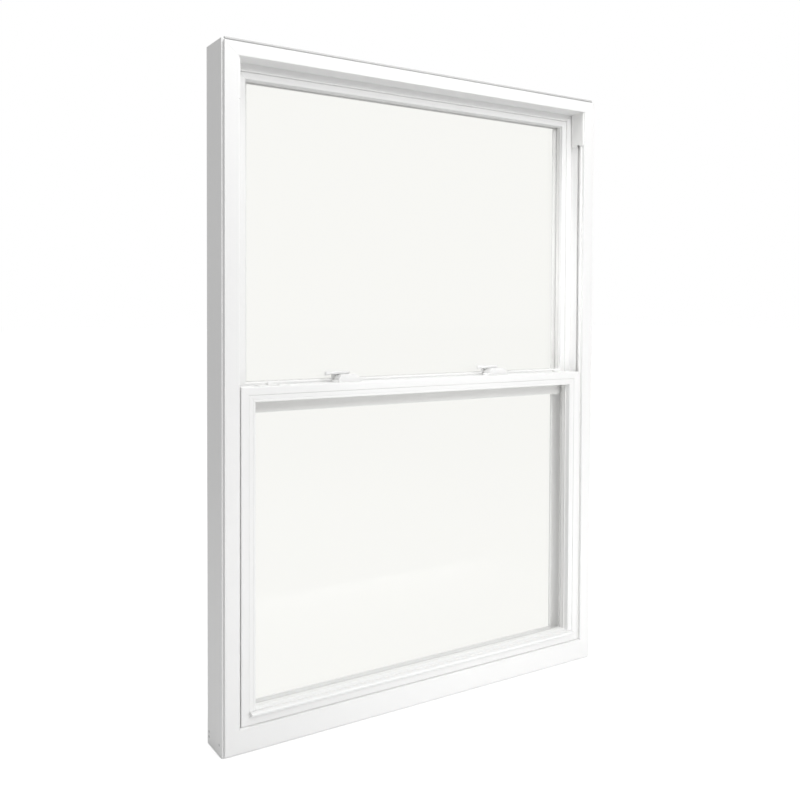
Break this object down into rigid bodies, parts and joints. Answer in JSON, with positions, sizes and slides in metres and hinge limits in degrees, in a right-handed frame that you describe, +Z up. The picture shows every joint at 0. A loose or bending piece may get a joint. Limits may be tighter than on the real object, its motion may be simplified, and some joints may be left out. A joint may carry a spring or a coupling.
{
  "type": "single hung window",
  "caption": "White vinyl single hung window with a fixed upper lite, a sliding lower sash, cam locks, tilt latches and a lift rail, ready to set in a wall opening.",
  "frame": {"origin": "middle of the frame's underside, halfway through the frame's depth", "axes": "+Z up, +X to the right seen from the room, +Y towards the outdoors"},
  "size_m": [0.902, 0.0909, 1.3105],
  "materials": {
    "white_vinyl": "satin extruded vinyl",
    "clear_glass": "clear insulating glass",
    "spacer": "white warm edge spacer",
    "white_lock": "white powder coat on die cast zinc",
    "white_nylon": "moulded nylon",
    "galvanized": "galvanized steel channel",
    "grey_nylon": "moulded nylon"
  },
  "bodies": {
    "frame": {"frame_head": "white_vinyl", "frame_sill": "white_vinyl", "left_jamb": "white_vinyl", "right_jamb": "white_vinyl", "meeting_rail": "white_vinyl", "upper_bead_top": "white_vinyl", "upper_bead_bottom": "white_vinyl", "upper_bead_left": "white_vinyl", "upper_bead_right": "white_vinyl", "upper_inner_pane": "clear_glass", "upper_outer_pane": "clear_glass", "upper_spacer": "spacer", "head_expander": "white_vinyl", "left_keeper": "white_lock", "left_sash_stop": "white_nylon", "left_balance": "galvanized", "left_weep_cover": "white_nylon", "right_keeper": "white_lock", "right_sash_stop": "white_nylon", "right_balance": "galvanized", "right_weep_cover": "white_nylon"},
    "sash": {"sash_top_rail": "white_vinyl", "sash_bottom_rail": "white_vinyl", "sash_left_stile": "white_vinyl", "sash_right_stile": "white_vinyl", "sash_bead_top": "white_vinyl", "sash_bead_bottom": "white_vinyl", "sash_bead_left": "white_vinyl", "sash_bead_right": "white_vinyl", "lower_inner_pane": "clear_glass", "lower_outer_pane": "clear_glass", "lower_spacer": "spacer", "left_lock_base": "white_lock", "left_latch": "white_nylon", "left_balance_shoe": "grey_nylon", "right_lock_base": "white_lock", "right_latch": "white_nylon", "right_balance_shoe": "grey_nylon"},
    "left_lock": {"left_lock_lever": "white_lock"},
    "right_lock": {"right_lock_lever": "white_lock"},
    "left_latch_bolt": {"left_latch_slider": "white_nylon"},
    "right_latch_bolt": {"right_latch_slider": "white_nylon"}
  },
  "joints": [
    {"name": "sash_slide", "type": "slide", "parent": "frame", "child": "sash", "axis": [0, 0, 1], "range_m": [0, 0.5192]},
    {"name": "left_lock_turn", "type": "hinge", "parent": "sash", "child": "left_lock", "pos_m": [-0.185, -0.00925, 0.6788], "axis": [0, 0, 1], "range_deg": [0, 180]},
    {"name": "right_lock_turn", "type": "hinge", "parent": "sash", "child": "right_lock", "pos_m": [0.185, -0.00925, 0.6788], "axis": [0, 0, 1], "range_deg": [0, 180]},
    {"name": "left_latch_slide", "type": "slide", "parent": "sash", "child": "left_latch_bolt", "axis": [1, 0, 0], "range_m": [0, 0.013], "stiffness_N_per_m": 250, "springref_m": -0.012},
    {"name": "right_latch_slide", "type": "slide", "parent": "sash", "child": "right_latch_bolt", "axis": [-1, 0, 0], "range_m": [0, 0.013], "stiffness_N_per_m": 250, "springref_m": -0.012}
  ]
}
